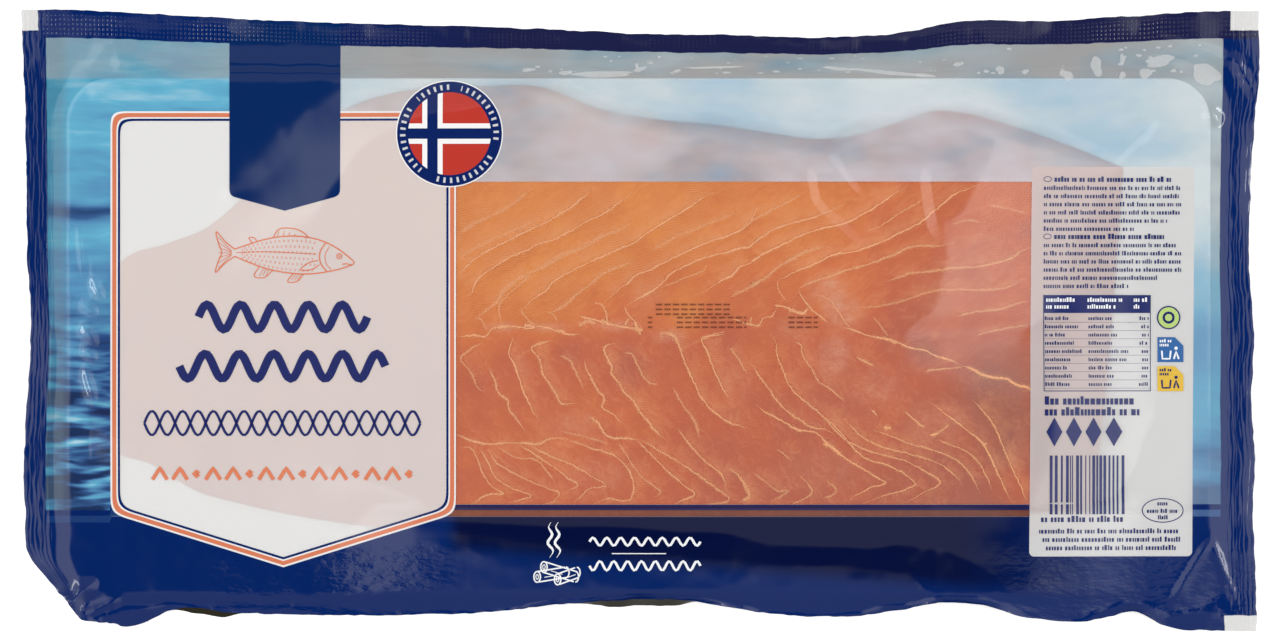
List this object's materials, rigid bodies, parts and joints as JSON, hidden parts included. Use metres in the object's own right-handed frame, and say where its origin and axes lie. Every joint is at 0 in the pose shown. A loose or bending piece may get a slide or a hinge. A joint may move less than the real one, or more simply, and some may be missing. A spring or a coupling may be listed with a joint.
{
  "type": "pack of smoked salmon",
  "caption": "Sealed flat film pouch, printed round a clear window, drawn tight over a stiff board and a slab of sliced smoked salmon.",
  "frame": {"origin": "middle of the pack's bounding box in plan, on the surface that its flat underside rests on", "axes": "+X along the pack towards the printed panel at its wide end, +Y across it towards its straight upper seal, +Z out of its printed face"},
  "size_m": [0.4, 0.201, 0.0079],
  "materials": {
    "film": "glossy printed film"
  },
  "bodies": {
    "root": {"pouch": "film"}
  },
  "joints": []
}
